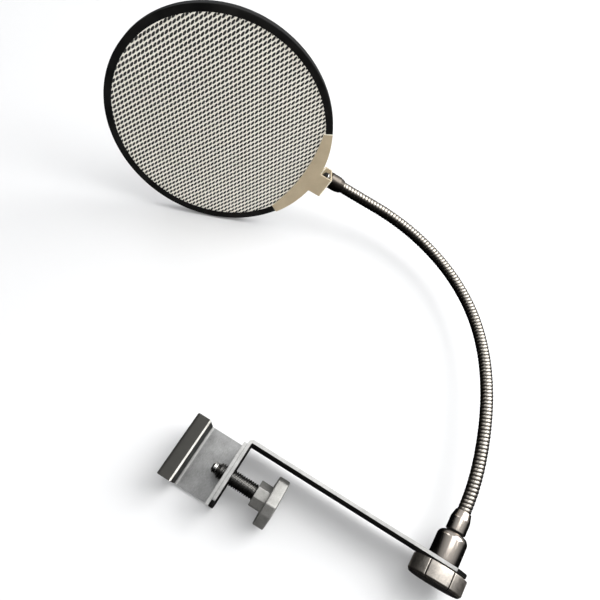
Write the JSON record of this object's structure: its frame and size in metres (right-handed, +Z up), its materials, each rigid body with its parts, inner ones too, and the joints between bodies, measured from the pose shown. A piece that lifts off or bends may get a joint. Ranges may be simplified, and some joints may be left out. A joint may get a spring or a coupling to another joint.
{
  "type": "pop filter",
  "caption": "Round metal mesh pop filter on a flexible gooseneck, with a bent strip arm, a screw clamp and a locking knob, lying on its side on a table.",
  "frame": {"origin": "Middle of the bounding box in X and Y, at the table under the three lowest points: the screw knob, the lock knob and the screen rim.", "axes": "X runs along the arm from the clamp towards the lock knob and is the longest extent, Y runs from the arm towards the neck bend, Z is up from the table and is the shortest extent."},
  "size_m": [0.3494, 0.2478, 0.1452],
  "materials": {
    "black_metal": "satin",
    "grey_steel": "satin",
    "grey_rubber": "matte",
    "dark_steel": "satin",
    "bright_steel": "polished",
    "cast_knob": "satin",
    "lock_plastic": "satin",
    "stud_steel": "satin",
    "gunmetal": "satin",
    "neck_steel": "satin",
    "champagne": "satin",
    "black_aluminium": "satin",
    "mesh_metal": "satin",
    "black_plastic": "matte",
    "black_nylon": "matte"
  },
  "bodies": {
    "arm": {"arm_strip": "black_metal", "clamp_channel": "grey_steel", "jaw_boot": "grey_rubber", "lock_washer": "black_metal"},
    "screw_slide": {"screw_tip": "bright_steel"},
    "screw": {"clamp_screw": "dark_steel", "screw_knob": "cast_knob"},
    "lock_knob": {"lock_knob": "lock_plastic", "lock_stud": "stud_steel"},
    "base": {"base_boss": "gunmetal", "base_ferrule": "gunmetal", "neck_stub": "neck_steel"},
    "neck_1": {"neck_link_1": "neck_steel"},
    "neck_2": {"neck_link_2": "neck_steel"},
    "neck_3": {"neck_link_3": "neck_steel"},
    "neck_4": {"neck_link_4": "neck_steel"},
    "neck_5": {"neck_link_5": "neck_steel"},
    "neck_6": {"neck_link_6": "neck_steel"},
    "neck_7": {"neck_link_7": "neck_steel"},
    "neck_8": {"neck_link_8": "neck_steel"},
    "neck_tip": {"neck_end": "neck_steel", "head_ferrule": "black_metal", "head_screw": "bright_steel", "head_washer": "bright_steel"},
    "head": {"head_plate": "champagne", "rim_channel": "black_aluminium", "mesh_screen": "mesh_metal", "spacer_ring": "black_plastic", "inner_screen": "black_nylon", "retaining_ring": "black_plastic"}
  },
  "joints": [
    {"name": "screw_travel", "type": "slide", "parent": "arm", "child": "screw_slide", "axis": [-1, 0, -0.0038], "range_m": [-0.009, 0.0134]},
    {"name": "screw_turn", "type": "hinge", "parent": "screw_slide", "child": "screw", "pos_m": [0.04196, -0.10299, 0.015], "axis": [-1, 0, -0.0038], "range_deg": [-2165, 3220]},
    {"name": "knob_turn", "type": "hinge", "parent": "arm", "child": "lock_knob", "pos_m": [0.15785, -0.08758, 0.01709], "axis": [-0.0004, 0.9943, 0.1066], "continuous": true},
    {"name": "base_swivel", "type": "hinge", "parent": "arm", "child": "base", "pos_m": [0.15785, -0.07167, 0.0188], "axis": [-0.0004, 0.9943, 0.1066], "continuous": true},
    {"name": "neck_bend_1", "type": "hinge", "parent": "base", "child": "neck_1", "pos_m": [0.15783, -0.0324, 0.02301], "axis": [-0.0134, -0.0553, 0.9984], "range_deg": [-30, 8]},
    {"name": "neck_tilt_2", "type": "hinge", "parent": "neck_1", "child": "neck_2", "pos_m": [0.152, -0.00098, 0.02467], "axis": [0.9562, 0.2912, 0.0289], "range_deg": [-20, 20]},
    {"name": "neck_bend_3", "type": "hinge", "parent": "neck_2", "child": "neck_3", "pos_m": [0.14267, 0.02963, 0.02513], "axis": [-0.0348, 0.0017, 0.9994], "range_deg": [-30, 8]},
    {"name": "neck_tilt_4", "type": "hinge", "parent": "neck_3", "child": "neck_4", "pos_m": [0.12894, 0.05853, 0.0246], "axis": [0.799, 0.6008, 0.0268], "range_deg": [-20, 20]},
    {"name": "neck_bend_5", "type": "hinge", "parent": "neck_4", "child": "neck_5", "pos_m": [0.10974, 0.08411, 0.02361], "axis": [-0.0263, -0.0021, 0.9997], "range_deg": [-30, 8]},
    {"name": "neck_tilt_6", "type": "hinge", "parent": "neck_5", "child": "neck_6", "pos_m": [0.08455, 0.10384, 0.02298], "axis": [0.3837, 0.9234, 0.012], "range_deg": [-20, 20]},
    {"name": "neck_bend_7", "type": "hinge", "parent": "neck_6", "child": "neck_7", "pos_m": [0.05501, 0.11611, 0.02391], "axis": [0.1085, -0.032, 0.9936], "range_deg": [-30, 8]},
    {"name": "neck_tilt_8", "type": "hinge", "parent": "neck_7", "child": "neck_8", "pos_m": [0.02341, 0.11968, 0.02747], "axis": [-0.1623, 0.9855, 0.0495], "range_deg": [-20, 20]},
    {"name": "neck_bend_9", "type": "hinge", "parent": "neck_8", "child": "neck_tip", "pos_m": [-0.0075, 0.11427, 0.03376], "axis": [0.3611, 0.0372, 0.9318], "range_deg": [-24, 10]},
    {"name": "head_turn", "type": "hinge", "parent": "neck_tip", "child": "head", "pos_m": [-0.03218, 0.10583, 0.04366], "axis": [0.8846, 0.3025, -0.3549], "range_deg": [-90, 90]}
  ],
  "couplings": [
    {"joint": "screw_turn", "follows": "screw_travel", "rad_per_m": 4188.8}
  ]
}
